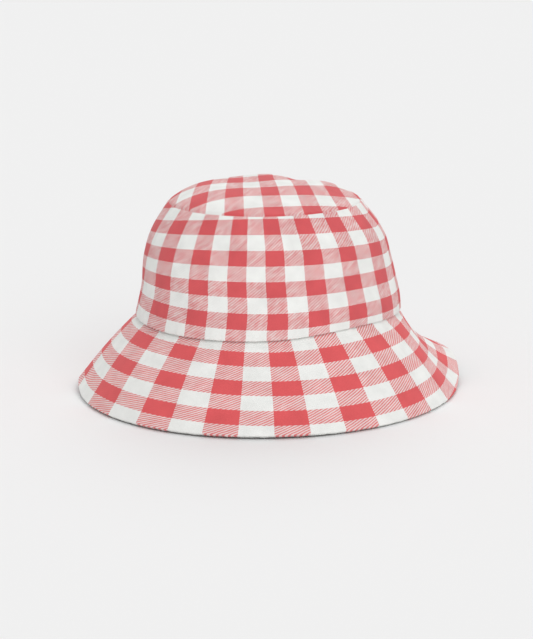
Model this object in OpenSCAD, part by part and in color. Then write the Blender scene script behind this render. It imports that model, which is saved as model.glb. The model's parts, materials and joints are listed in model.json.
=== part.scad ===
// Lined bucket hat: a checked crown and brim over a plain lining, sweatband and labels.
// Millimetres, +Z up, the wearer faces -Y. The brim's turned edge stands on Z = 0.
// Every ring is an oval: two half rounds of the stated radius, with a straight side between.

/* [Hat] */
// Half width of the crown where it meets the brim
seam_r = 88; // [84:0.5:92]
// Length that the straight sides add from front to back
oval_straight = 30; // [24:1:34]
// Half width of the brim at its edge
rim_r = 126.5; // [121:0.5:134]
// Height of the crown and brim seam above the brim's edge
seam_z = 52; // [46:1:58]
// Half width of the crown at the top seam
top_r = 63.5; // [60:0.5:67]
// Height of the top seam above the crown and brim seam
side_h = 72.5; // [68:0.5:78]
// Rise of the top panel above its seam
dome_h = 14; // [10:0.5:16]

/* [Cloth] */
// Thickness of the checked outer cloth
shell_t = 0.7; // [0.5:0.05:0.7]
// Thickness of the brim's stiffener
interlining_t = 0.5; // [0.3:0.05:0.5]
// Thickness of the lining cloth
lining_t = 0.4; // [0.3:0.05:0.4]
// Thickness of one layer of the folded sweatband
band_t = 0.5; // [0.3:0.05:0.5]
// Height of the sweatband
band_h = 32; // [28:1:34]
// Width of the seam allowances turned inside the crown
allowance = 8; // [6:0.5:9]

/* [Labels] */
// Width of the hanging care label
care_w = 26; // [20:1:28]
// Length of the hanging care label
care_h = 32; // [26:1:34]
// Angle that the woven label covers on the sweatband
woven_angle = 28; // [20:1:34]

/* [Hidden] */
$fn = 96;

half_straight = oval_straight / 2;
// Gap left between flat layers of cloth, and between layers that curve round the wall
gap = 0.05;
curved_gap = 0.25;
// How strongly the side wall curves in towards the top seam
wall_power = 2;
// How strongly the top panel flattens towards its middle
dome_power = 2.2;
// Steps in the wall's and the dome's profiles
wall_steps = 10;
dome_steps = 8;
thread_r = 0.25;

top_z = seam_z + side_h;

// Depth of each layer below the outer face of the crown
turned_in = shell_t + curved_gap;
turned_out = turned_in + 0.6;
seam_thread_in = turned_out + 0.1 + thread_r;
lining_in = seam_thread_in + thread_r + 0.1;
lining_out = lining_in + lining_t;
lining_skirt_in = lining_out + 0.5;
band_in = lining_out + curved_gap;
band_fold = 0.4;
band_out = band_in + 2 * band_t + band_fold;
woven_in = band_out + curved_gap;
woven_out = woven_in + 0.45;

// Brim: a straight slope from the turned allowance down to the edge
collar_r = seam_r - turned_in;
// Height of the brim's thick turned edge
rim_t = 1.6;
brim_slope = atan2(seam_z - rim_t, rim_r - collar_r);
brim_len = norm([seam_z - rim_t, rim_r - collar_r]);
under_in = shell_t + gap + interlining_t + gap;

// Half width and lean of the wall at a height
function wall_share(z) = (z - seam_z) / side_h;
function wall_r(z) = seam_r - (seam_r - top_r) * pow(max(wall_share(z), 0), wall_power);
function wall_lean(z) = atan((seam_r - top_r) * wall_power / side_h
    * pow(max(wall_share(z), 0), wall_power - 1));

// A point at depth d inside the wall, level with the outer face's height z
function wall_pt(z, d) = [wall_r(z) - d * cos(wall_lean(z)), z - d * sin(wall_lean(z))];
function wall_line(z0, z1, d) = [
    for (i = [0:wall_steps]) wall_pt(z0 + (z1 - z0) * i / wall_steps, d)
];

// The top panel's height at a half width, and a line along it at depth d
function dome_z(r) = top_z + dome_h * (1 - pow(r / top_r, dome_power));
function dome_line(r0, r1, d) = [
    for (i = [0:dome_steps]) let (r = r0 + (r1 - r0) * i / dome_steps) [r, dome_z(r) - d]
];

// A point s down the brim's slope and d below its upper face
function brim_pt(s, d) = [
    collar_r + s * cos(brim_slope) - d * sin(brim_slope),
    seam_z - s * sin(brim_slope) - d * cos(brim_slope)
];

// The closed outline of a layer of wall between two heights and two depths
function wall_layer(z0, z1, d0, d1) = concat(wall_line(z0, z1, d0), wall_line(z1, z0, d1));

// Sweeps an outline round the front half of the oval
module front_half(outline) {
    translate([0, -half_straight, 0])
        rotate_extrude(angle = 180, start = 180) polygon(outline);
    for (side = [0, 1]) mirror([side, 0, 0])
        rotate([90, 0, 0]) linear_extrude(height = half_straight) polygon(outline);
}

module back_half(outline) {
    mirror([0, 1, 0]) front_half(outline);
}

module whole_oval(outline) {
    front_half(outline);
    back_half(outline);
}

// A round thread laid along the oval through one point of the profile
module oval_thread(point, r) {
    for (back = [0, 1]) mirror([0, back, 0]) {
        translate([0, -half_straight, 0])
            rotate_extrude(angle = 180, start = 180) translate(point) circle(r, $fn = 24);
        for (side = [0, 1]) mirror([side, 0, 0])
            translate([point[0], 0, point[1]]) rotate([90, 0, 0])
                cylinder(r = r, h = half_straight, $fn = 24);
    }
}

// A row of stitching laid up both side seams, from an outline in the plane of the seams
module side_seam_rows(outline, width) {
    for (side = [0, 1]) mirror([side, 0, 0])
        translate([0, width / 2, 0]) rotate([90, 0, 0])
            linear_extrude(height = width) polygon(outline);
}

// Outer cloth of the crown
function top_panel_outline() = concat(
    dome_line(0, top_r - 1.1, 0),
    [for (z = [top_z - 0.4, top_z - allowance * 0.75]) wall_pt(z, turned_in)],
    [for (z = [top_z - allowance * 0.75, top_z - 1.6]) wall_pt(z, turned_out)],
    dome_line(top_r - 2.2, 0, shell_t)
);

module crown_top_panel() {
    color("#e5797c") whole_oval(top_panel_outline());
}

module crown_side_front() {
    color("#d5585c") front_half(wall_layer(seam_z + 0.3, top_z, 0, shell_t));
}

module crown_side_back() {
    color("#d5585c") back_half(wall_layer(seam_z + 0.3, top_z, 0, shell_t));
}

// Brim: upper cloth with its collar and its turned edge
function brim_upper_outline() = [
    wall_pt(seam_z + allowance, turned_in),
    wall_pt(seam_z + allowance / 2, turned_in),
    [collar_r, seam_z],
    [rim_r, rim_t],
    [rim_r - 0.5, 0],
    [rim_r - 2.6, 0],
    brim_pt(brim_len - 2.5, shell_t),
    brim_pt(0.9, shell_t),
    wall_pt(seam_z + 0.9, turned_out),
    wall_pt(seam_z + allowance / 2, turned_out),
    wall_pt(seam_z + allowance, turned_out)
];

module brim_upper_front() {
    color("#e56265") front_half(brim_upper_outline());
}

module brim_upper_back() {
    color("#e56265") back_half(brim_upper_outline());
}

// A layer under the brim's upper cloth, between two places on the slope
function brim_layer(s0, s1, d0, d1) = [
    brim_pt(s0, d0), brim_pt(s1, d0), brim_pt(s1, d1), brim_pt(s0, d1)
];

function interlining_outline() =
    brim_layer(1.5, brim_len - 7, shell_t + gap, shell_t + gap + interlining_t);

module brim_interlining_front() {
    color("#f4f2ec") front_half(interlining_outline());
}

module brim_interlining_back() {
    color("#f4f2ec") back_half(interlining_outline());
}

function brim_under_outline() = brim_layer(0.9, brim_len - 3, under_in, under_in + shell_t);

module brim_under_front() {
    color("#dd6a6d") front_half(brim_under_outline());
}

module brim_under_back() {
    color("#dd6a6d") back_half(brim_under_outline());
}

// Lining of the crown
function lining_side_outline() = wall_layer(seam_z + 1, top_z - 2.5, lining_in, lining_out);

function lining_top_outline() = concat(
    dome_line(0, top_r - 3.2, lining_in + 0.6),
    [for (z = [top_z - 3.4, top_z - allowance]) wall_pt(z, lining_skirt_in)],
    [for (z = [top_z - allowance, top_z - 4]) wall_pt(z, lining_skirt_in + lining_t)],
    dome_line(top_r - 4.2, 0, lining_in + 0.6 + lining_t)
);

module lining_top() {
    color("#eeece6") whole_oval(lining_top_outline());
}

module lining_side_front() {
    color("#eeece6") front_half(lining_side_outline());
}

module lining_side_back() {
    color("#eeece6") back_half(lining_side_outline());
}

// Sweatband: one tape folded over at its top, open at the seam below
function sweatband_outline() =
    let (z0 = seam_z + 0.8, z1 = seam_z + band_h) concat(
        wall_line(z0, z1, band_in),
        wall_line(z1, z0, band_out),
        wall_line(z0, z1 - band_t, band_out - band_t),
        wall_line(z1 - band_t, z0, band_in + band_t)
    );

module sweatband() {
    color("#f5f4f0") whole_oval(sweatband_outline());
}

// Blank woven label on the back of the sweatband
module woven_label() {
    color("#fbfaf7") translate([0, half_straight, 0])
        rotate_extrude(angle = woven_angle, start = 90 - woven_angle / 2)
            polygon(wall_layer(seam_z + 8, seam_z + 25, woven_in, woven_out));
}

// Care label: hangs from a stitched header on the left side of the lining, by a round fold
care_hinge_z = seam_z + 43;
care_hinge = [wall_pt(care_hinge_z, lining_out + 1)[0], care_hinge_z];
care_t = 0.5;
header_h = 4;

module care_label() {
    color("#fbfaf7") translate([-care_hinge[0], -care_w / 2, care_hinge[1]]) {
        translate([-care_t / 2, 0, -care_h]) cube([care_t, care_w, care_h]);
        rotate([-90, 0, 0]) cylinder(r = care_t / 2, h = care_w, $fn = 32);
    }
}

module care_label_header() {
    color("#f2f0ea") mirror([1, 0, 0]) translate([0, care_w / 2, 0]) rotate([90, 0, 0])
        linear_extrude(height = care_w)
            polygon(wall_layer(care_hinge_z + 2, care_hinge_z + 2 + header_h,
                lining_out + gap, lining_out + gap + 0.6));
}

// Thread rows, each laid in the space that its seam leaves
module top_seam_thread() {
    color("white") oval_thread(wall_pt(top_z - 4, seam_thread_in), thread_r);
}

module brim_join_thread() {
    color("white") oval_thread(wall_pt(seam_z + 4, seam_thread_in), thread_r);
}

module brim_edge_thread() {
    color("white") oval_thread(brim_pt(brim_len - 4.8, (shell_t + under_in) / 2), 0.2);
}

module sweatband_thread() {
    color("white") oval_thread(wall_pt(seam_z + 3, band_in + band_t + band_fold / 2), 0.15);
}

module lining_seam_thread() {
    color("white")
        oval_thread(wall_pt(top_z - 6, (lining_out + lining_skirt_in) / 2), 0.2);
}

module crown_side_seam_threads() {
    color("white") side_seam_rows(
        wall_layer(seam_z + allowance + 2, top_z - allowance,
            seam_thread_in - thread_r, seam_thread_in + thread_r),
        2 * thread_r);
}

module brim_side_seam_threads() {
    depth = under_in + shell_t + gap;
    color("white") side_seam_rows(
        brim_layer(4, brim_len - 6, depth, depth + 2 * thread_r), 2 * thread_r);
}

crown_top_panel();
crown_side_front();
crown_side_back();
brim_upper_front();
brim_upper_back();
brim_interlining_front();
brim_interlining_back();
brim_under_front();
brim_under_back();
lining_top();
lining_side_front();
lining_side_back();
sweatband();
woven_label();
care_label();
care_label_header();
top_seam_thread();
brim_join_thread();
brim_edge_thread();
sweatband_thread();
lining_seam_thread();
crown_side_seam_threads();
brim_side_seam_threads();
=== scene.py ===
"""Bucket hat: a checked twill crown and brim over a plain lining, with a sweatband and blank labels."""

import json
import math

import bmesh
import bpy
import numpy as np
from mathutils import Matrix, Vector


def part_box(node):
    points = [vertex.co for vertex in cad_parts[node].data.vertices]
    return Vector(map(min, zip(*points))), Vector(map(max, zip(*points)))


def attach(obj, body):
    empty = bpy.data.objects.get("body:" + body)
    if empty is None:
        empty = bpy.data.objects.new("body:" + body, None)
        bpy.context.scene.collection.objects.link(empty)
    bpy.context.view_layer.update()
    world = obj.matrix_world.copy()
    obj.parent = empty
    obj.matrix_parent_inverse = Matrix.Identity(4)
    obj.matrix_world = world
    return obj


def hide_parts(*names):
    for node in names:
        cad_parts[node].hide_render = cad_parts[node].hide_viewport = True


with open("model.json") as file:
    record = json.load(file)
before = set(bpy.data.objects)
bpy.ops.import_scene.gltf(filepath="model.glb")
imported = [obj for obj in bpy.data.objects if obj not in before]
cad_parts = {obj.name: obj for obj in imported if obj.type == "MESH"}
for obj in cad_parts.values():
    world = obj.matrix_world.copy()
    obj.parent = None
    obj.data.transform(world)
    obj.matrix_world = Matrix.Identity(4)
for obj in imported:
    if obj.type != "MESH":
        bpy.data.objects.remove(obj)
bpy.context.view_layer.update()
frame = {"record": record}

# ---------------------------------------------------------------- sizes, in millimetres

MM = 0.001


def low(node, axis):
    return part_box(node)[0][axis] / MM


def high(node, axis):
    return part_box(node)[1][axis] / MM


SEAM_Z = 52.0  # crown and brim seam above the floor
SEAM_R = high("crown_side_front", 0)  # half width of the crown at that seam
TOP_Z = high("crown_side_front", 2)  # top seam above the floor
TOP_R = 63.5  # half width of the crown at the top seam
RIM_R = high("brim_upper_front", 0)  # half width of the brim
DOME_H = high("crown_top_panel", 2) - TOP_Z  # rise of the top panel
OVAL = high("brim_upper_back", 1) - RIM_R  # how much longer than wide each half is
SIDE_H = TOP_Z - SEAM_Z
RIM_Z = 1.5  # upper face of the brim's edge above the floor

# Cloth thickness, and the depth of the middle of each layer below the outer face
TWILL = 0.6
LINING = 0.4
STIFFENER = 0.5
BAND = 0.55
FACE = TWILL / 2
TURNED = FACE + TWILL + 0.1
TOP_ALLOWANCE = TURNED + TWILL + 0.1
COLLAR = 2 * TWILL + 0.35
ALLOWANCE = 8.0

COLLAR_R = SEAM_R - COLLAR
BRIM_L = math.hypot(RIM_R - COLLAR_R, SEAM_Z - RIM_Z)
BRIM_SLOPE = math.atan2(SEAM_Z - RIM_Z, RIM_R - COLLAR_R)

FRONT = (-math.pi, 0.0)
BACK = (0.0, math.pi)

# ---------------------------------------------------------------- shape of the hat


def mound(x, centre, width):
    """A smooth mound, 1 at its centre."""
    return np.exp(-(((x - centre) / width) ** 2))


def ramp(x, start, end):
    """A smooth step from 0 at start to 1 at end."""
    t = np.clip((x - start) / (end - start), 0.0, 1.0)
    return t * t * (3.0 - 2.0 * t)


def turned(theta, centre):
    """Angle from a direction in degrees, the short way round, in degrees."""
    return (np.degrees(theta) - centre + 180.0) % 360.0 - 180.0


def lean(z):
    """The upper crown sits a little to the wearer's right."""
    return -2.0 * ramp(z, SEAM_Z + 12.0, SEAM_Z + 40.0) - 1.0 * ramp(z, SEAM_Z + 50.0, SEAM_Z + 70.0)


def longer_at(z):
    """The crown is rounder at the top than at the head."""
    return OVAL - 6.0 * np.clip((z - SEAM_Z) / SIDE_H, 0.0, 1.0)


def oval(theta, r, z, longer=None):
    """Points round the hat in mm; theta is the way the cloth faces, and -90 degrees is the front."""
    longer = longer_at(z) if longer is None else longer
    c, s = np.cos(theta), np.sin(theta)
    x = r * c - longer * s * s * c + lean(z)
    y = r * s + longer * s * (1.0 + c * c)
    return np.stack(np.broadcast_arrays(x, y, z), axis=-1)


def seam_groove(theta):
    """How far the cloth dips at the two side seams."""
    away = np.minimum(np.abs(turned(theta, 0.0)), np.abs(turned(theta, 180.0)))
    return 0.55 * mound(away, 0.0, 0.55) + 0.3 * mound(away, 0.0, 3.0)


def seam_drop(theta):
    """The seam between crown and brim runs a little low on one side and high on the other."""
    return 0.7 + 1.3 * mound(turned(theta, -140.0), 0.0, 62.0) - 3.0 * mound(turned(theta, -34.0), 0.0, 26.0)


def crown_face(theta, h):
    """Half width and height of the crown's outer face, h mm above the brim seam."""
    share = h / SIDE_H
    r = SEAM_R - (SEAM_R - TOP_R) * np.clip(share, 0.0, 2.0) ** 2
    r = r + 2.4 * mound(share, 0.74, 0.2) - 1.2 * mound(share, 0.28, 0.15)
    slack = np.clip(4.0 * share * (1.0 - share), 0.0, 1.0)
    r = r + slack * (
        0.55 * np.sin(3.0 * theta + 0.7)
        + 0.4 * np.sin(5.0 * theta - 1.1 + 2.0 * share)
        + 0.25 * np.sin(9.0 * theta + 4.0 * share)
    )
    gathers = 0.16 * np.sin(71.0 * theta) + 0.1 * np.sin(113.0 * theta + 1.0)
    r = r + gathers * (mound(h, 0.0, 6.0) + 0.8 * mound(h, SIDE_H, 5.0))
    r = r + 0.7 * ramp(-turned(theta, -20.0), 0.0, 50.0) * mound(h, 0.0, 5.0)
    r = r - seam_groove(theta) * ramp(h, 1.0, 4.0) * ramp(-h, 1.0 - SIDE_H, 6.0 - SIDE_H)
    return r, SEAM_Z + h - seam_drop(theta) * np.clip(1.0 - share, 0.0, 1.2) ** 2


def crown_point(theta, h, depth):
    """A point of the crown's section, depth mm inside its outer face."""
    r0, z0 = crown_face(theta, h - 0.5)
    r1, z1 = crown_face(theta, h + 0.5)
    length = np.hypot(r1 - r0, z1 - z0)
    r, z = crown_face(theta, h)
    return r - depth * (z1 - z0) / length, z + depth * (r1 - r0) / length


TOP_EDGE = float(np.mean(crown_face(np.linspace(-math.pi, math.pi, 721), SIDE_H)[0]))


def brim_face(theta, s):
    """Half width and height of the brim's upper face, s mm out from the crown."""
    t = np.clip(s / BRIM_L, 0.0, 1.03)
    out, up = np.maximum(s, 0.0), np.minimum(s, 0.0)
    full = 2.0 * np.sin(math.pi * np.clip(t, 0.0, 1.0)) * (
        1.0 - 3.2 * ramp(turned(theta, 0.0), -14.0, 16.0) * ramp(-turned(theta, 80.0), 0.0, 40.0)
    )
    r = COLLAR_R + out * math.cos(BRIM_SLOPE) + 0.1 * up + full * math.sin(BRIM_SLOPE)
    z = SEAM_Z - out * math.sin(BRIM_SLOPE) - up + full * math.cos(BRIM_SLOPE)
    # The rear of the wearer's left side is curled up, from a crease at the side seam
    curl = ramp(turned(theta, 0.0), -3.0, 24.0) * ramp(-turned(theta, 92.0), 0.0, 50.0)
    # A small turned-up corner on the other side
    corner = mound(turned(theta, 196.0), 0.0, 9.0)
    waves = 0.7 * (1.0 + np.sin(3.0 * theta - 0.5)) + 0.5 * (1.0 + np.sin(5.0 * theta + 1.3))
    z = z - seam_drop(theta) * (1.0 - t) ** 2
    z = z + t**1.7 * (12.0 * curl + 4.0 * corner) + t**2 * waves * 0.2
    r = r + t**1.7 * (1.5 * curl + 0.8)
    # The front of the rim is a little higher and further out, and the cloth dips at the crown's seam
    front = mound(turned(theta, -90.0), 0.0, 62.0)
    z = z + 1.0 * front * t**3 - 0.6 * mound(s, 3.0, 2.2)
    r = r + 2.0 * front * t**3
    ripple = 0.14 * np.sin(67.0 * theta) + 0.1 * np.sin(101.0 * theta + 2.0)
    z = z + ripple * (mound(s, 4.0, 5.0) + 0.5 * mound(s, BRIM_L, 4.0))
    z = z - 0.6 * seam_groove(theta) * ramp(s, 1.0, 3.0) * ramp(-s, -BRIM_L, 3.0 - BRIM_L)
    return r, z


def brim_point(theta, s, depth):
    """A point of the brim's section, depth mm below its upper face."""
    r0, z0 = brim_face(theta, s - 0.6)
    r1, z1 = brim_face(theta, s + 0.6)
    length = np.hypot(r1 - r0, z1 - z0)
    r, z = brim_face(theta, s)
    return r + depth * (z1 - z0) / length, z - depth * (r1 - r0) / length


def dome_z(x, y, share):
    """Height of the top panel's upper face; share is 0 in its middle and 1 at its seam."""
    fuller = 3.0 - 1.1 * np.tanh(x / 24.0)
    z = TOP_Z + (DOME_H - 1.0) * (1.0 - share**fuller)
    z = z - 1.4 * mound(x, 12.0, 9.0) * mound(y, 34.0, 24.0)
    z = z + 0.9 * mound(x, -8.0, 14.0) * mound(y, 30.0, 20.0)
    z = z + 3.0 * mound(x, 36.0, 15.0) * mound(y, 26.0, 24.0)
    return z + 0.35 * np.sin(x / 11.0 + y / 17.0) * (1.0 - share**2)


# ---------------------------------------------------------------- where the checks fall


def columns_round(theta, first, rate, ease):
    """Checks counted round the hat from the middle of the front."""
    x = (theta + math.pi / 2 + math.pi / 2) % (2.0 * math.pi) - math.pi / 2
    edge = math.pi / 2
    y = x - edge
    front = first + rate * x + ease * x * x
    back = first + rate * edge + ease * edge**2 + (rate + 2.0 * ease * edge) * y - ease * y * y
    return np.where(x <= edge, front, back)


def from_front(theta):
    """Turn from the middle of the front in radians: a quarter turn at the side seams, nothing at the back."""
    x = np.radians(turned(theta, -90.0))
    return np.where(np.abs(x) <= math.pi / 2, x, np.sign(x) * math.pi - x)


def crown_checks(theta, h):
    """Columns and rows of checks, as smooth curves that bend most near the side seams and the top."""
    x, k = from_front(theta), h / 70.0 - 0.5
    columns = columns_round(theta, 0.4, 5.8, 0.52) - 0.28 * x**3 + 0.25 * k * k + (0.29 - 0.24 * x) * k * x
    rows = (h - 5.8) / 9.2 - 0.18 + 0.23 * x * x - 0.05 * x**3 + 0.07 * k
    return columns, rows + (0.54 * x - 0.57) * k * x + 0.38 * k * k


def brim_checks(theta, s):
    """The same on the brim, counted from the front and out from the crown."""
    x, k = from_front(theta), s / 62.0 - 0.5
    columns = columns_round(theta, 0.5, 5.1, 0.44) - 0.09 * x**3
    columns = columns - 0.07 * k + 0.08 * k * x + 0.1 * k * k - 0.16 * k * x * x
    rows = 1.03 - (s - 8.5) / 9.75 + 0.3 * x - 0.03 * x * x - 0.19 * x**3 + (0.2 - 0.09 * x - 0.37 * k) * k
    return columns, rows - 0.09 * k * x * x


def top_checks(x, y):
    """On the top panel the columns and rows lean off the front, and each check is longer than it is wide."""
    x, y = (x + 2.3) / 60.0, y / 60.0
    across = 4.46 + 5.48 * x + 1.45 * y - 0.38 * x * x + 0.12 * y * y + 0.71 * x * y
    along = 0.04 - 1.51 * x + 1.88 * y - 0.81 * x * x + 0.81 * y * np.abs(y) - 0.12 * x * y
    return across, along


# ---------------------------------------------------------------- cloth, thread and tape


def span_of(half, count):
    """Angles across one half of the hat, closer together towards the side seams."""
    t = np.linspace(-1.0, 1.0, count)
    eased = 0.3 * t + 0.7 * np.sin(t * math.pi / 2)
    middle, reach = (half[0] + half[1]) / 2, (half[1] - half[0]) / 2 - 0.0012
    return middle + reach * eased


def run(start, end, step):
    """Even steps along a straight stretch of a section."""
    return np.linspace(start, end, max(2, int(abs(end - start) / step) + 1))


def section(*stretches):
    """Joins stretches of (along, depth) into the two rows of a section."""
    parts = [np.broadcast_arrays(*(np.asarray(v, float) for v in s)) for s in stretches]
    return np.concatenate([p[0] for p in parts]), np.concatenate([p[1] for p in parts])


def fold(at, depth_from, depth_to, way):
    """A half round turn of the cloth at `at`; way is the side that it bulges to."""
    a = np.linspace(math.pi / 2, -math.pi / 2, 9)[1:-1]
    half = (depth_to - depth_from) / 2
    return at + way * abs(half) * np.cos(a), (depth_from + depth_to) / 2 - half * np.sin(a)


def new_object(name, vertices, faces):
    mesh = bpy.data.meshes.new(name)
    mesh.from_pydata((np.asarray(vertices) * MM).tolist(), [], np.asarray(faces).tolist())
    piece = bpy.data.objects.new(name, mesh)
    bpy.context.scene.collection.objects.link(piece)
    return piece


def smooth(piece, angle=50.0):
    bpy.ops.object.select_all(action="DESELECT")
    bpy.context.view_layer.objects.active = piece
    piece.select_set(True)
    bpy.ops.object.shade_smooth_by_angle(angle=math.radians(angle))
    piece.select_set(False)


def cloth(name, middle, thickness, checks, closed=False, pole=False):
    """One piece of cloth round its own middle: (columns, rows, 3) points in mm, with a (columns, rows) pair
    of pattern coordinates. A closed piece meets itself, and a pole is a first row that is one point."""
    columns, rows = middle.shape[:2]
    ring = np.concatenate([middle[-1:], middle, middle[:1]]) if closed else middle
    across = np.gradient(ring, axis=0)
    across = across[1:-1] if closed else across
    normal = np.cross(np.gradient(middle, axis=1), across)
    if pole:
        normal[:, 0] = normal[:, 1].mean(axis=0)
    normal /= np.linalg.norm(normal, axis=2, keepdims=True)
    points = np.concatenate([middle + normal * thickness / 2, middle - normal * thickness / 2])

    wide = columns + closed
    outer = np.arange(wide * rows).reshape(wide, rows)
    inner = outer + wide * rows
    quads = lambda g: np.stack([g[:-1, :-1], g[:-1, 1:], g[1:, 1:], g[1:, :-1]], axis=-1).reshape(-1, 4)
    edge = lambda a, b, c, d: np.stack([a, b, c, d], axis=-1)
    far_edge = edge(outer[:-1, -1], inner[:-1, -1], inner[1:, -1], outer[1:, -1])
    faces = [quads(outer), quads(inner)[:, ::-1], far_edge]
    if not pole:
        faces.append(edge(outer[:-1, 0], outer[1:, 0], inner[1:, 0], inner[:-1, 0]))
    if not closed:
        faces.append(edge(outer[0, :-1], inner[0, :-1], inner[0, 1:], outer[0, 1:]))
        faces.append(edge(outer[-1, :-1], outer[-1, 1:], inner[-1, 1:], inner[-1, :-1]))
    corners = np.concatenate(faces)
    one_side = (np.arange(wide)[:, None] % columns) * rows + np.arange(rows)
    real = np.concatenate([one_side.ravel(), one_side.ravel() + columns * rows])
    piece = new_object(name, points.reshape(-1, 3), real[corners])

    u, v = (np.concatenate([c.ravel(), c.ravel()]) for c in checks)
    layer = piece.data.uv_layers.new(name="checks")
    layer.data.foreach_set("uv", np.stack([u[corners], v[corners]], axis=-1).ravel())
    if pole:
        bm = bmesh.new()
        bm.from_mesh(piece.data)
        bm.verts.ensure_lookup_table()
        ends = [v for v in bm.verts if v.index % rows == 0]
        bmesh.ops.remove_doubles(bm, verts=ends, dist=1e-6)
        bm.to_mesh(piece.data)
        bm.free()
    smooth(piece)

    steps_across = np.linalg.norm(np.diff(ring[1:] if closed else ring, axis=0), axis=2)
    steps_along = np.linalg.norm(np.diff(middle, axis=1), axis=2)
    area = patch_area(ring[1:] if closed else ring)
    cut = (steps_across.sum(axis=0).max() * MM, steps_along.sum(axis=1).max() * MM)
    return piece, cut, area * MM * MM


def patch_area(grid):
    a, b, c, d = grid[:-1, :-1], grid[:-1, 1:], grid[1:, 1:], grid[1:, :-1]
    return float(np.linalg.norm(np.cross(c - a, d - b), axis=2).sum() / 2)


def stitches(name, path, pitch, length, radius):
    """A row of short stitches laid along a line of points in mm."""
    path = np.asarray(path, float)
    along = np.concatenate([[0.0], np.cumsum(np.linalg.norm(np.diff(path, axis=0), axis=1))])
    count = max(2, int(along[-1] / pitch))
    at = (np.arange(count) + 0.5) * along[-1] / count
    where = lambda d: np.stack([np.interp(d, along, path[:, k]) for k in range(3)], axis=-1)
    middle, way = where(at), where(at + 0.3) - where(at - 0.3)
    way /= np.linalg.norm(way, axis=1, keepdims=True)
    side = np.cross(way, [0.0, 0.0, 1.0]) + 1e-9
    side /= np.linalg.norm(side, axis=1, keepdims=True)
    up = np.cross(side, way)
    points, faces = [], []
    sides, rings = 6, ((-0.5, 0.35), (-0.32, 0.9), (0.32, 0.9), (0.5, 0.35))
    for i in range(count):
        first = len(points)
        for t, fat in rings:
            for k in range(sides):
                a = 2.0 * math.pi * k / sides
                round_it = side[i] * math.cos(a) + up[i] * math.sin(a)
                points.append(middle[i] + way[i] * t * length + round_it * radius * fat)
        for j in range(len(rings) - 1):
            for k in range(sides):
                a, b = first + j * sides + k, first + j * sides + (k + 1) % sides
                faces.append((a, b, b + sides, a + sides))
        last = first + (len(rings) - 1) * sides
        faces += [(first + 3, first + 2, first + 1, first), (first + 5, first + 4, first + 3, first)]
        faces += [(last, last + 1, last + 2, last + 3), (last, last + 3, last + 4, last + 5)]
    mesh = bpy.data.meshes.new(name)
    mesh.from_pydata([tuple(p * MM) for p in points], [], faces)
    piece = bpy.data.objects.new(name, mesh)
    bpy.context.scene.collection.objects.link(piece)
    bm = bmesh.new()
    bm.from_mesh(mesh)
    bmesh.ops.recalc_face_normals(bm, faces=bm.faces)
    bm.to_mesh(mesh)
    bm.free()
    smooth(piece, 70.0)
    return piece


# ---------------------------------------------------------------- materials


def colour(code):
    """An sRGB hex colour as linear red, green, blue and alpha."""
    parts = [int(code[i : i + 2], 16) / 255 for i in (1, 3, 5)]
    return (*(p / 12.92 if p <= 0.04045 else ((p + 0.055) / 1.055) ** 2.4 for p in parts), 1.0)


def node(tree, kind, links=(), **settings):
    """Adds one node; links are (input, value or socket) pairs."""
    made = tree.nodes.new(kind)
    for key, value in settings.items():
        setattr(made, key, value)
    for name, value in links:
        if isinstance(value, bpy.types.NodeSocket):
            tree.links.new(value, made.inputs[name])
        else:
            made.inputs[name].default_value = value
    return made


def material(name):
    made = bpy.data.materials.new(name)
    made.use_nodes = True
    made.node_tree.nodes.clear()
    return made, made.node_tree


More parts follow.
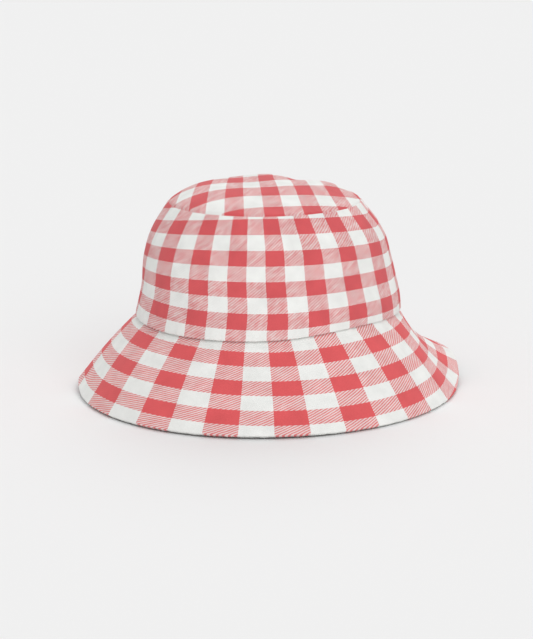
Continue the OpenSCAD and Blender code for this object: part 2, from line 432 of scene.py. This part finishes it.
def checked_twill(name, red, white, lines, uneven, clear, streaky):
    """Cotton twill woven in even checks: solid squares where red warp meets red weft, white where white meets
    white, and fine slanting lines between, where the twill shows one thread and then the other."""
    made, tree = material(name)
    uv = node(tree, "ShaderNodeUVMap", uv_map="checks").outputs["UV"]
    place = node(tree, "ShaderNodeTexCoord").outputs["Object"]
    # Slubs in the yarn move each thread by a small part of a check
    slub = node(tree, "ShaderNodeTexNoise", [("Vector", place), ("Scale", 420.0), ("Detail", 2.0)])
    drift = node(
        tree, "ShaderNodeVectorMath", [(0, slub.outputs["Color"]), (1, (0.5, 0.5, 0.5))], operation="SUBTRACT"
    )
    moved = node(
        tree,
        "ShaderNodeVectorMath",
        [(0, drift.outputs[0]), (1, (uneven, uneven, 0.0)), (2, uv)],
        operation="MULTIPLY_ADD",
    )
    split = node(tree, "ShaderNodeSeparateXYZ", [("Vector", moved.outputs[0])])
    bands = []
    for axis in ("X", "Y"):
        half = node(tree, "ShaderNodeMath", [(0, split.outputs[axis]), (1, 0.5)], operation="MULTIPLY")
        part = node(tree, "ShaderNodeMath", [(0, half.outputs[0])], operation="FRACT")
        band = node(tree, "ShaderNodeMath", [(0, part.outputs[0]), (1, 0.5)], operation="LESS_THAN")
        bands.append(band.outputs[0])
    slant = node(
        tree, "ShaderNodeMath", [(0, split.outputs["X"]), (1, split.outputs["Y"])], operation="SUBTRACT"
    ).outputs[0]
    wale = node(tree, "ShaderNodeMath", [(0, slant), (1, lines)], operation="MULTIPLY").outputs[0]
    phase = node(tree, "ShaderNodeMath", [(0, wale)], operation="FRACT").outputs[0]
    warp_up = node(tree, "ShaderNodeMath", [(0, phase), (1, 0.5)], operation="LESS_THAN").outputs[0]
    # Uneven yarn runs as streaks along the slant, drawn coarser than real so that they show
    length = node(tree, "ShaderNodeMath", [(0, split.outputs["X"]), (1, split.outputs["Y"])], operation="ADD")
    run_of = node(tree, "ShaderNodeCombineXYZ", [("X", slant), ("Y", length.outputs[0])])
    placed = node(tree, "ShaderNodeMapping", [("Vector", run_of.outputs[0]), ("Scale", (3.8, 1.3, 1.0))])
    streak = node(
        tree, "ShaderNodeTexNoise", [("Vector", placed.outputs[0]), ("Scale", 1.0), ("Detail", 1.5)]
    )
    uneven_yarn = node(
        tree,
        "ShaderNodeMapRange",
        [
            ("Value", streak.outputs["Fac"]),
            ("From Min", 0.3),
            ("From Max", 0.7),
            ("To Min", 0.5 - clear / 2 - streaky),
            ("To Max", 0.5 - clear / 2 + streaky),
        ],
    )
    shown = node(
        tree,
        "ShaderNodeMath",
        [(0, warp_up), (1, clear), (2, uneven_yarn.outputs["Result"])],
        operation="MULTIPLY_ADD",
        use_clamp=True,
    ).outputs[0]
    mixed = node(
        tree, "ShaderNodeMix", [("Factor", shown), ("A", bands[1]), ("B", bands[0])], data_type="FLOAT"
    )
    # The mixed squares are drawn redder than an even mix
    dyed = node(tree, "ShaderNodeMath", [(0, mixed.outputs["Result"]), (1, 0.8)], operation="POWER")
    cloudy = node(tree, "ShaderNodeTexNoise", [("Vector", place), ("Scale", 90.0), ("Detail", 6.0)])
    faded = node(
        tree,
        "ShaderNodeMapRange",
        [
            ("Value", cloudy.outputs["Fac"]),
            ("From Min", 0.3),
            ("From Max", 0.7),
            ("To Min", 0.93),
            ("To Max", 1.05),
        ],
    )
    tone = node(
        tree,
        "ShaderNodeMix",
        [("Factor", dyed.outputs[0]), ("A", colour(white)), ("B", colour(red))],
        data_type="RGBA",
    )
    tone.inputs[6].default_value, tone.inputs[7].default_value = colour(white), colour(red)
    worn = node(
        tree, "ShaderNodeHueSaturation", [("Color", tone.outputs[2]), ("Value", faded.outputs["Result"])]
    )
    # Twill ribs along the slanting lines, as coarse as the lines are, with single threads over them
    rib = node(tree, "ShaderNodeMath", [(0, wale), (1, 2.0 * math.pi)], operation="MULTIPLY").outputs[0]
    ridge = node(tree, "ShaderNodeMath", [(0, rib)], operation="SINE").outputs[0]
    threads = node(tree, "ShaderNodeTexNoise", [("Vector", place), ("Scale", 1800.0), ("Detail", 3.0)])
    relief = node(
        tree,
        "ShaderNodeMath",
        [(0, ridge), (1, 0.35), (2, threads.outputs["Fac"])],
        operation="MULTIPLY_ADD",
    )
    bump = node(
        tree, "ShaderNodeBump", [("Strength", 0.18), ("Distance", 0.0003), ("Height", relief.outputs[0])]
    )
    cloth_shader = node(
        tree,
        "ShaderNodeBsdfPrincipled",
        [
            ("Base Color", worn.outputs[0]),
            ("Roughness", 0.88),
            ("IOR", 1.45),
            ("Specular IOR Level", 0.2),
            ("Sheen Weight", 0.08),
            ("Sheen Roughness", 0.6),
            ("Normal", bump.outputs[0]),
        ],
    )
    node(tree, "ShaderNodeOutputMaterial", [("Surface", cloth_shader.outputs[0])])
    return made


def plain_weave(name, tint, threads_per_unit, relief, roughness, sheen=0.05, slanted=False):
    """A plain cloth or tape: one colour, with the over and under of its threads and painted shade in the
    hollows between them. Its pattern is in mm.
    """
    made, tree = material(name)
    uv = node(tree, "ShaderNodeUVMap", uv_map="checks").outputs["UV"]
    place = node(tree, "ShaderNodeTexCoord").outputs["Object"]
    split = node(tree, "ShaderNodeSeparateXYZ", [("Vector", uv)])
    x, y = split.outputs["X"], split.outputs["Y"]
    if slanted:
        x = node(tree, "ShaderNodeMath", [(0, x), (1, y)], operation="SUBTRACT").outputs[0]
    waves = []
    for way in (x, y):
        per_mm = 2.0 * math.pi * threads_per_unit
        turns = node(tree, "ShaderNodeMath", [(0, way), (1, per_mm)], operation="MULTIPLY")
        waves.append(node(tree, "ShaderNodeMath", [(0, turns.outputs[0])], operation="SINE").outputs[0])
    weave = node(tree, "ShaderNodeMath", [(0, waves[0]), (1, waves[1])], operation="MULTIPLY").outputs[0]
    height = waves[0] if slanted else weave
    # The tone follows the height of the weave, darker in the hollows between threads: painted shade, with
    # random cloudy tone in the yarn added on top.
    cloudy = node(tree, "ShaderNodeTexNoise", [("Vector", place), ("Scale", 240.0), ("Detail", 5.0)])
    uneven = node(
        tree, "ShaderNodeMath", [(0, height), (1, 0.06), (2, cloudy.outputs["Fac"])], operation="MULTIPLY_ADD"
    )
    shade = node(
        tree,
        "ShaderNodeMapRange",
        [
            ("Value", uneven.outputs[0]),
            ("From Min", 0.25),
            ("From Max", 0.75),
            ("To Min", 0.92),
            ("To Max", 1.04),
        ],
    )
    tone = node(
        tree, "ShaderNodeHueSaturation", [("Color", colour(tint)), ("Value", shade.outputs["Result"])]
    )
    bump = node(tree, "ShaderNodeBump", [("Strength", relief), ("Distance", 0.0002), ("Height", height)])
    shader = node(
        tree,
        "ShaderNodeBsdfPrincipled",
        [
            ("Base Color", tone.outputs[0]),
            ("Roughness", roughness),
            ("IOR", 1.45),
            ("Specular IOR Level", 0.3),
            ("Sheen Weight", sheen),
            ("Normal", bump.outputs[0]),
        ],
    )
    node(tree, "ShaderNodeOutputMaterial", [("Surface", shader.outputs[0])])
    return made


def spun_thread(name, tint):
    """Spun polyester sewing thread: matt, with the faint slanting ridges of its twist and painted shade in
    the grooves between them.
    """
    made, tree = material(name)
    place = node(tree, "ShaderNodeTexCoord").outputs["Object"]
    twist = node(tree, "ShaderNodeTexWave", [("Vector", place), ("Scale", 700.0), ("Distortion", 1.5)])
    # The colour darkens in the grooves of the twist, from the same wave as the bump: painted shade.
    shade = node(
        tree,
        "ShaderNodeMapRange",
        [("Value", twist.outputs["Fac"]), ("To Min", 0.85), ("To Max", 1.0)],
    )
    tone = node(
        tree, "ShaderNodeHueSaturation", [("Color", colour(tint)), ("Value", shade.outputs["Result"])]
    )
    bump = node(
        tree, "ShaderNodeBump", [("Strength", 0.3), ("Distance", 0.0001), ("Height", twist.outputs["Fac"])]
    )
    shader = node(
        tree,
        "ShaderNodeBsdfPrincipled",
        [("Base Color", tone.outputs[0]), ("Roughness", 0.6), ("IOR", 1.5), ("Normal", bump.outputs[0])],
    )
    node(tree, "ShaderNodeOutputMaterial", [("Surface", shader.outputs[0])])
    return made


RED, WHITE = "#DC5B5E", "#ECEDEA"
# lines is how many slanting lines cross a check: fewer than half of the real ones, which are too fine to
# show. uneven is how far a thread wanders in checks, clear how strongly the lines stand out, streaky how
# strong the streaks are.
CROWN_TWILL = checked_twill(
    "cotton_twill_checked_crown", "#D4595D", WHITE, lines=5.6, uneven=0.05, clear=0.3, streaky=0.17
)
BRIM_TWILL = checked_twill(
    "cotton_twill_checked_brim", RED, WHITE, lines=6.3, uneven=0.03, clear=0.6, streaky=0.08
)
LINING_CLOTH = plain_weave("cotton_plain_weave_lining", "#EFEDE8", 2.4, 0.25, 0.85)
BAND_TAPE = plain_weave("cotton_twill_tape_sweatband", "#F3F1EC", 1.1, 0.5, 0.8, slanted=True)
STIFF_FELT = plain_weave("bonded_polyester_interlining", "#E9E9E6", 0.9, 0.15, 0.95)
LABEL_SATIN = plain_weave("polyester_satin_label", "#FAFAF8", 3.0, 0.12, 0.38, sheen=0.2)
THREAD = spun_thread("spun_polyester_thread", "#F2F0EC")


# ---------------------------------------------------------------- making each piece


def oval_cut(made, middle):
    """The size of an oval piece, measured over the cloth side to side and end to end."""
    lines = np.linalg.norm(np.diff(middle, axis=1), axis=2).sum(axis=1)
    quarter = len(lines) // 4
    across, along = lines[0] + lines[2 * quarter], lines[quarter] + lines[3 * quarter]
    return made[0], (across * MM, along * MM), made[2]


def finish(made, node_name, cloth_material):
    """Gives a sheet of cloth its material, hangs it on the root body and hides the part that it stands for.
    """
    piece, cut, area = made
    piece.data.materials.append(cloth_material)
    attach(piece, "root")
    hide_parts(node_name)
    print(f"CUT {piece.name} {cut[0] / MM:.0f} x {cut[1] / MM:.0f} mm, {area * 1e4:.0f} cm2")
    return piece


def in_mm(theta, along):
    """Pattern coordinates in mm for a plain cloth."""
    return np.broadcast_arrays(theta * SEAM_R, along)


def crown_side(half):
    name, angles = ("front", FRONT) if half == "front" else ("back", BACK)
    theta = span_of(angles, 250)[:, None]
    h, depth = section(
        (run(ALLOWANCE, 1.4, 1.5), TURNED),
        fold(0.9, TURNED, FACE, -1),
        (run(0.9, SIDE_H - 0.6, 0.9), FACE),
        fold(SIDE_H - 0.6, FACE, TURNED, 1),
        (run(SIDE_H - 1.4, SIDE_H - ALLOWANCE, 1.5), TURNED),
    )
    r, z = crown_point(theta, h[None], depth[None])
    checks = np.broadcast_arrays(*crown_checks(theta, h[None]))
    made = cloth(f"crown_side_{name}_cloth", oval(theta, r, z), TWILL, checks)
    return finish(made, f"crown_side_{name}", CROWN_TWILL)


def crown_top():
    theta = np.linspace(-math.pi, math.pi, 361)[:-1, None]
    share = np.linspace(0.0, 1.0, 46)[None] ** 0.85
    edge = crown_point(theta, SIDE_H, 1.75)[0]
    longer = longer_at(TOP_Z) * share
    flat = oval(theta, edge * share, TOP_Z + 0 * share, longer)
    z = dome_z(flat[..., 0], flat[..., 1], share * edge / TOP_EDGE) - FACE
    gathers = 0.12 * np.sin(61.0 * theta) + 0.08 * np.sin(97.0 * theta + 1.0)
    top = oval(theta, edge * share, z + gathers * mound(share, 1.0, 0.1), longer)
    down = run(SIDE_H - 0.9, SIDE_H - ALLOWANCE, 1.2)[None]
    r, z_down = crown_point(theta, down, TOP_ALLOWANCE)
    middle = np.concatenate([top, oval(theta, r, z_down)], axis=1)
    middle[:, 0] = middle[:, 0].mean(axis=0)
    wrapped = np.concatenate([middle, middle[:1]])
    checks = top_checks(wrapped[..., 0], wrapped[..., 1])
    made = cloth("crown_top_panel_cloth", middle, TWILL, checks, closed=True, pole=True)
    made = oval_cut(made, middle)
    return finish(made, "crown_top_panel", CROWN_TWILL)


def brim_layer(half, layer):
    angles = FRONT if half == "front" else BACK
    theta = span_of(angles, 250 if layer != "interlining" else 160)[:, None]
    turn_1, turn_2 = FACE, TURNED
    if layer == "upper":
        s, depth = section(
            (run(-ALLOWANCE, 0.0, 1.2), turn_1),
            (run(0.5, BRIM_L - 0.5, 0.9), turn_1),
            fold(BRIM_L - 0.4, turn_1, turn_2, 1),
            (run(BRIM_L - 1.2, BRIM_L - 7.0, 1.5), turn_2),
        )
        thickness, cloth_material, slot = TWILL, BRIM_TWILL, "checked_twill"
    elif layer == "interlining":
        s, depth = section((run(-6.0, BRIM_L - 8.5, 1.4), TWILL + 0.1 + STIFFENER / 2))
        thickness, cloth_material, slot = STIFFENER, STIFF_FELT, "interlining"
    else:
        inside, outside = TURNED + TWILL + 0.1, TURNED + 2 * TWILL + 0.2
        thin = TWILL + STIFFENER + 0.2 + FACE
        outward = run(0.5, BRIM_L - 0.6, 0.9)
        s, depth = section(
            (run(BRIM_L - 7.0, BRIM_L - 1.3, 1.5), inside),
            fold(BRIM_L - 0.5, inside, outside, 1),
            (outward[::-1], thin + (outside - thin) * ramp(outward[::-1], BRIM_L - 12.0, BRIM_L - 4.0)),
            (run(0.0, -ALLOWANCE, 1.2), thin),
        )
        thickness, cloth_material, slot = TWILL, BRIM_TWILL, "checked_twill_under"
    r, z = brim_point(theta, s[None], depth[None])
    if layer == "interlining":
        checks = in_mm(theta, s[None])
    else:
        checks = np.broadcast_arrays(*brim_checks(theta, s[None]))
    made = cloth(f"brim_{layer}_{half}_cloth", oval(theta, r, z), thickness, checks)
    return finish(made, f"brim_{layer}_{half}", cloth_material)


def lining_depth(h):
    """The lining lies over the brim's allowances below, and close behind the crown above."""
    return 3.1 + 1.5 * (1.0 - ramp(h, 6.0, 20.0)) + 0.35 * ramp(h, SIDE_H - 20.0, SIDE_H - 8.0)


def lining_side(half):
    theta = span_of(FRONT if half == "front" else BACK, 200)[:, None]
    h = run(1.2, SIDE_H - 3.4, 1.1)[None]
    r, z = crown_point(theta, h, lining_depth(h))
    slack = 0.35 * np.sin(17.0 * theta + h / 13.0) * ramp(h, 26.0, 40.0)
    made = cloth(f"lining_side_{half}_cloth", oval(theta, r - np.abs(slack), z), LINING, in_mm(theta, h))
    return finish(made, f"lining_side_{half}", LINING_CLOTH)


def lining_top():
    theta = np.linspace(-math.pi, math.pi, 241)[:-1, None]
    share = np.linspace(0.0, 1.0, 34)[None] ** 0.85
    edge = TOP_EDGE - 4.2
    longer = longer_at(TOP_Z) * share
    flat = oval(theta, edge * share, TOP_Z + 0 * share, longer)
    sag = 0.5 * np.sin(flat[..., 0] / 9.0) * np.sin(flat[..., 1] / 12.0) * (1.0 - share**2)
    z = dome_z(flat[..., 0], flat[..., 1], share * edge / TOP_EDGE) - 3.2 - np.abs(sag)
    top = oval(theta, edge * share, z, longer)
    down = run(SIDE_H - 4.6, SIDE_H - 10.0, 1.2)[None]
    r, z_down = crown_point(theta, down, 2.85)
    middle = np.concatenate([top, oval(theta, r, z_down)], axis=1)
    middle[:, 0] = middle[:, 0].mean(axis=0)
    wrapped = np.concatenate([middle, middle[:1]])
    checks = wrapped[..., 0], wrapped[..., 1]
    made = cloth("lining_top_cloth", middle, LINING, checks, closed=True, pole=True)
    return finish(oval_cut(made, middle), "lining_top", LINING_CLOTH)


BAND_OUT, BAND_IN = 5.2, 5.95  # depths of the sweatband's two layers
BAND_H = high("sweatband", 2) - SEAM_Z


def sweatband():
    # Its two ends meet at the middle of the back
    theta = (np.linspace(0.0, 2.0 * math.pi, 421) * 0.9996 + math.pi / 2 + 0.0008)[:, None]
    h, depth = section(
        (run(1.0, BAND_H - 0.5, 1.3), BAND_OUT),
        fold(BAND_H - 0.4, BAND_OUT, BAND_IN, 1),
        (run(BAND_H - 0.9, 1.0, 1.3), BAND_IN),
    )
    r, z = crown_point(theta, h[None], depth[None])
    ease = 0.3 * np.sin(11.0 * theta + 0.5) * ramp(h[None], 8.0, BAND_H)
    made = cloth("sweatband_tape", oval(theta, r - np.abs(ease), z), BAND, in_mm(theta, h[None]))
    return finish(made, "sweatband", BAND_TAPE)


def woven_label():
    # A blank woven tab with its two ends turned under, sewn flat on the back of the sweatband
    half = math.radians(14.0)
    across = np.linspace(-half, half, 60)
    ends = np.minimum(half - np.abs(across), 0.02) / 0.02
    theta = (math.pi / 2 + across)[:, None]
    h = run(low("woven_label", 2) - SEAM_Z, high("woven_label", 2) - SEAM_Z, 0.8)[None]
    r, z = crown_point(theta, h, BAND_IN + 0.75 - 0.15 * (1.0 - ends[:, None]))
    made = cloth("woven_label_satin", oval(theta, r - 0.3, z), 0.4, in_mm(theta, h))
    return finish(made, "woven_label", LABEL_SATIN)


HINGE = [v / MM for v in frame["record"]["behaviour"]["joints"][0]["pos_m"]]


def care_label():
    """A ribbon label folded over its hinge line, hanging a little inwards so that it clears the sweatband."""
    width = high("care_label", 1) - low("care_label", 1)
    drop = high("care_label", 2) - low("care_label", 2)
    y = np.linspace(-width / 2, width / 2, 30)[:, None]
    a = np.linspace(-0.2 * math.pi, math.pi, 10)[None]
    over_x, over_z = HINGE[0] - 0.28 * np.cos(a), HINGE[2] + 0.28 * np.sin(a)
    down = np.linspace(0.02, 1.0, 40)[None]
    curl = 0.9 * down**2 * np.sin(y / width * math.pi * 1.2 + 0.4)
    x = np.concatenate([np.broadcast_to(over_x, (30, 10)), HINGE[0] + 0.28 + 2.3 * down + curl * 0.6], axis=1)
    z = np.concatenate([np.broadcast_to(over_z, (30, 10)), HINGE[2] - down * (drop - 0.4) + 0 * y], axis=1)
    grid = np.stack([x, np.broadcast_to(y, x.shape), z], axis=-1)
    made = cloth("care_label_ribbon", grid, 0.3, np.broadcast_arrays(y, z))
    piece, cut, area = made
    piece.data.materials.append(LABEL_SATIN)
    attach(piece, "care_label")
    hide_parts("care_label")
    print(f"CUT {piece.name} {cut[0] / MM:.0f} x {cut[1] / MM:.0f} mm")
    return piece


def care_label_header():
    """The label's sewn end: flat on the lining above, standing off it down to the hinge line."""
    width = high("care_label_header", 1) - low("care_label_header", 1)
    y = np.linspace(width / 2, -width / 2, 30)
    theta = math.pi - np.arcsin(y / (SEAM_R + 8.0))
    top = HINGE[2] + 11.5 - SEAM_Z
    h = run(top, top - 8.0, 0.5)
    r, z = crown_point(theta[:, None], h[None], lining_depth(h[None]) + 0.75)
    flat = oval(theta[:, None], r, z)
    flat[..., 1] = y[:, None]
    t = np.linspace(0.0, 1.0, 12)[1:]
    end = np.array([HINGE[0], 0.0, HINGE[2] + 0.62])
    start = flat[:, -1]
    across = start[:, 0, None] + (end[0] - start[:, 0, None]) * ramp(t, 0.0, 1.0)[None]
    fall = start[:, 2, None] + (end[2] - start[:, 2, None]) * t[None]
    bend = np.stack([across, np.broadcast_to(y[:, None], across.shape), fall], axis=-1)
    grid = np.concatenate([flat, bend], axis=1)
    checks = np.broadcast_arrays(y[:, None], grid[..., 2])
    made = cloth("care_label_header_ribbon", grid, 0.35, checks)
    return finish(made, "care_label_header", LABEL_SATIN)


def sewn(piece, node_name, body="root"):
    piece.data.materials.append(THREAD)
    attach(piece, body)
    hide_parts(node_name)
    return piece


STITCH_PITCH, STITCH_L, STITCH_R = 3.2, 2.4, 0.22
TOPSTITCH_R = 0.24


def seam_threads():
    """Every row of stitches, as single stitches."""
    theta = np.linspace(-math.pi, math.pi, 1441)
    ring = lambda r, z: oval(theta, r, z)
    r, z = crown_point(theta, SIDE_H - 4.5, TOP_ALLOWANCE + 0.45)
    sewn(stitches("top_seam_stitches", ring(r, z), STITCH_PITCH, STITCH_L, STITCH_R), "top_seam_thread")
    r, z = crown_point(theta, 4.0, BAND_OUT - 0.42)
    sewn(stitches("brim_join_stitches", ring(r, z), STITCH_PITCH, STITCH_L, STITCH_R), "brim_join_thread")
    r, z = brim_point(theta, BRIM_L - 5.0, TURNED + 2 * TWILL + 0.2 + FACE + 0.08)
    sewn(stitches("brim_edge_stitches", ring(r, z), STITCH_PITCH, STITCH_L, TOPSTITCH_R), "brim_edge_thread")
    r, z = crown_point(theta, 3.2, BAND_IN + BAND / 2 + 0.1)
    sewn(stitches("sweatband_stitches", ring(r, z), STITCH_PITCH, STITCH_L, TOPSTITCH_R), "sweatband_thread")
    r, z = crown_point(theta, SIDE_H - 6.0, lining_depth(SIDE_H - 6.0) + LINING / 2 + 0.05)
    sewn(stitches("lining_seam_stitches", ring(r, z), 2.8, 2.0, 0.2), "lining_seam_thread")
    for name, node_name, pick, start, end, depth in (
        ("crown_side_seam_stitches", "crown_side_seam_threads", crown_point, 10.0, SIDE_H - 10.0, 1.2),
        ("brim_side_seam_stitches", "brim_side_seam_threads", brim_point, 4.0, BRIM_L - 9.0, 2.35),
    ):
        rows = []
        for side in (0.0, math.pi):
            along = run(start, end, 0.5)
            r, z = pick(side + 0 * along, along, depth)
            line = oval(side + 0 * along, r, z)
            rows.append(stitches(f"{name}_{len(rows)}", line, STITCH_PITCH, STITCH_L, STITCH_R))
        bpy.ops.object.select_all(action="DESELECT")
        for one in rows:
            one.select_set(True)
        bpy.context.view_layer.objects.active = rows[0]
        bpy.ops.object.join()
        rows[0].name = name
        sewn(rows[0], node_name)


bpy.ops.object.select_all(action="DESELECT")
for half in ("front", "back"):
    crown_side(half)
    for layer in ("upper", "interlining", "under"):
        brim_layer(half, layer)
    lining_side(half)
crown_top()
lining_top()
sweatband()
woven_label()
care_label()
care_label_header()
seam_threads()

# ---------------------------------------------------------------- floor, light and camera


def floor():
    bpy.ops.mesh.primitive_plane_add(size=60.0, location=(0.0, 0.0, 0.0))
    made = bpy.context.object
    made.name = "studio_floor"
    paint, tree = material("matt_studio_floor")
    grain = node(tree, "ShaderNodeTexNoise", [("Scale", 30.0)])
    shade = node(
        tree, "ShaderNodeMapRange", [("Value", grain.outputs["Fac"]), ("To Min", 0.864), ("To Max", 0.866)]
    )
    tone = node(
        tree,
        "ShaderNodeHueSaturation",
        [("Color", (1.0, 1.0, 1.0, 1.0)), ("Value", shade.outputs["Result"])],
    )
    matt = node(tree, "ShaderNodeBsdfDiffuse", [("Color", tone.outputs[0])])
    node(tree, "ShaderNodeOutputMaterial", [("Surface", matt.outputs[0])])
    made.data.materials.append(paint)


def light():
    world = bpy.data.worlds.new("soft_studio")
    bpy.context.scene.world = world
    world.use_nodes = True
    back = world.node_tree.nodes["Background"]
    back.inputs["Color"].default_value = (1.0, 1.0, 1.0, 1.0)
    back.inputs["Strength"].default_value = 0.56
    lamps = (("soft_key", 1.25, 60.0, 50.0, 28.0), ("soft_back", 0.85, 44.0, -44.0, 8.0))
    for name, energy, wide, tip, turn in lamps:
        lamp = bpy.data.lights.new(name, "SUN")
        lamp.energy = energy
        lamp.angle = math.radians(wide)
        lit = bpy.data.objects.new(name, lamp)
        lit.rotation_euler = (math.radians(tip), 0.0, math.radians(turn))
        bpy.context.scene.collection.objects.link(lit)


def camera():
    turn, rise, far = math.radians(12.0), math.radians(11.36), 1.1506
    lens = bpy.data.cameras.new("camera")
    lens.lens, lens.sensor_width, lens.sensor_fit = 115.28, 36.0, "HORIZONTAL"
    lens.shift_x, lens.shift_y = -0.0055, -0.0462
    lens.clip_end = 100.0
    eye = bpy.data.objects.new("camera", lens)
    eye.location = (
        far * math.sin(turn) * math.cos(rise),
        -far * math.cos(turn) * math.cos(rise),
        0.06 + far * math.sin(rise),
    )
    eye.rotation_euler = (math.pi / 2 - rise, 0.0, turn)
    bpy.context.scene.collection.objects.link(eye)
    bpy.context.scene.camera = eye


floor()
light()
camera()
bpy.context.scene.view_settings.view_transform = "Standard"
